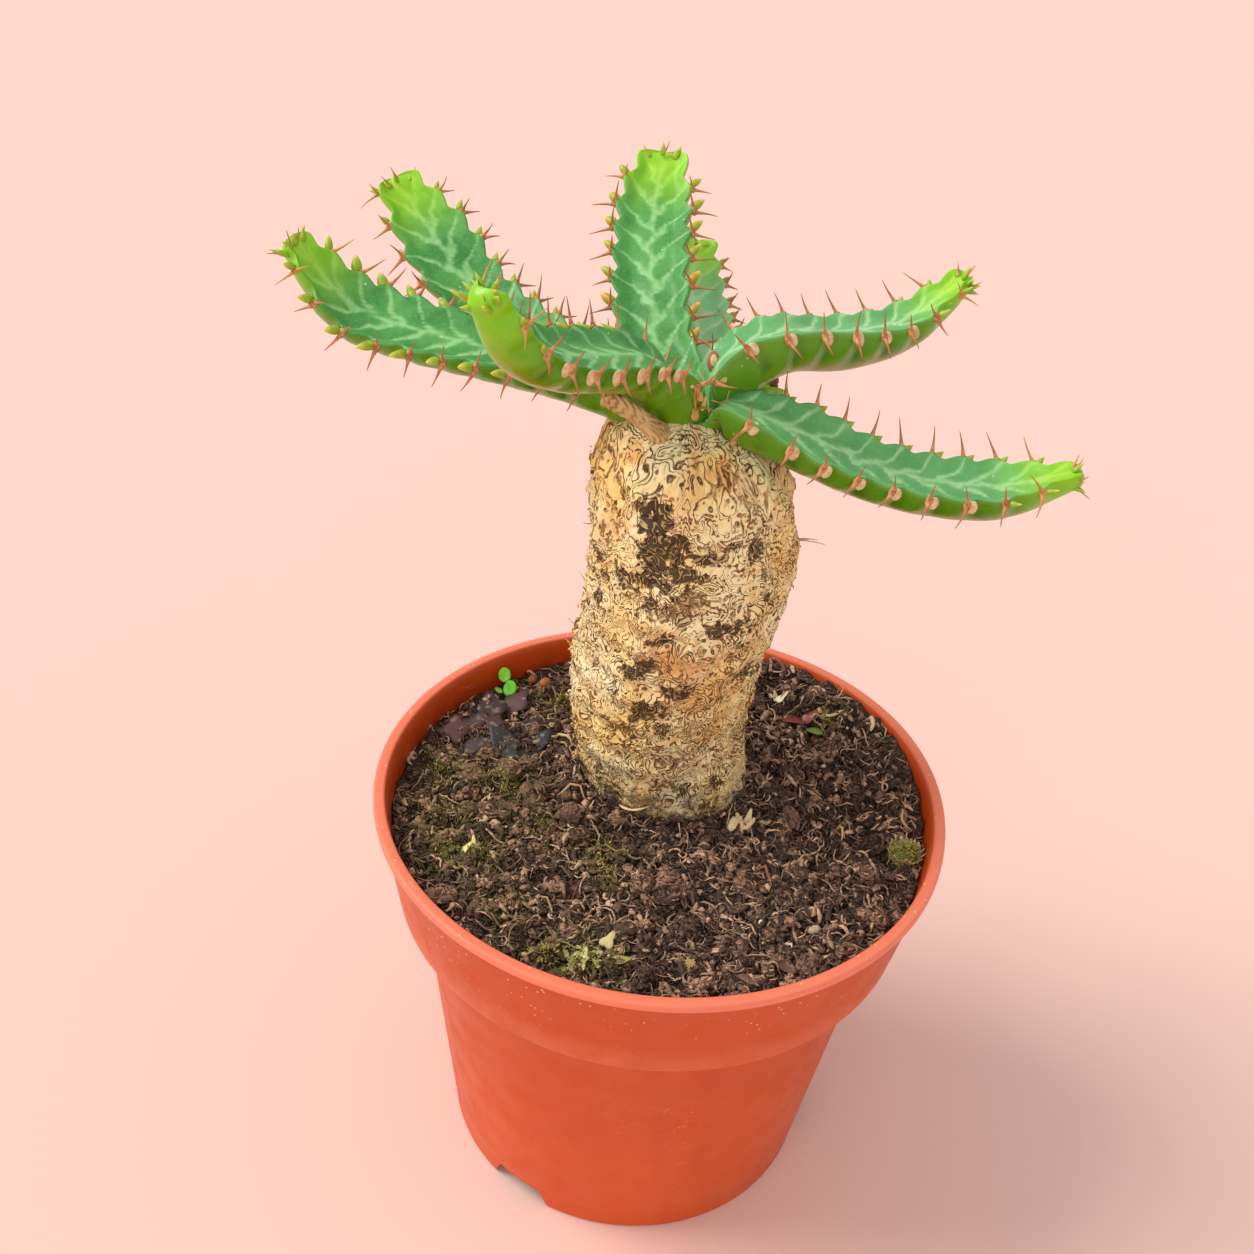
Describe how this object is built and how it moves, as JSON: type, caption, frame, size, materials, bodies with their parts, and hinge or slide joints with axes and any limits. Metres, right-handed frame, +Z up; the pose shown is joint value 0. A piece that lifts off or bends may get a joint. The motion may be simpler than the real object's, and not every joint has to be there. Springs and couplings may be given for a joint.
{
  "type": "potted caudex plant",
  "caption": "Caudex succulent in a round plastic nursery pot: a cork-skinned swollen trunk in peat carries a crown of flat toothed stems with paired spines; it rests on the pot's flat base.",
  "frame": {"origin": "centre of the pot's flat base, on the surface that the pot stands on", "axes": "+Z up, +X to the right and -Y toward the viewer, with the crown leaning over the front and left of the pot"},
  "size_m": [0.1553, 0.1301, 0.2117],
  "materials": {
    "pot_plastic": "terracotta-coloured injection-moulded plastic, satin, lightly scuffed",
    "peat": "dark brown fibrous peat, crumbly and matte",
    "caudex_cork": "cream to tan cork with dark creases, matte",
    "stem_green": "waxy succulent skin, bluish green with pale veins above, glossy olive below, tan spines"
  },
  "bodies": {
    "root": {"pot": "pot_plastic", "soil": "peat", "caudex": "caudex_cork", "stem_front_left": "stem_green", "stem_front_right": "stem_green", "stem_right": "stem_green", "stem_centre": "stem_green", "stem_left": "stem_green", "stem_back_left": "stem_green", "stem_back": "stem_green", "stem_stub": "stem_green"}
  },
  "joints": []
}
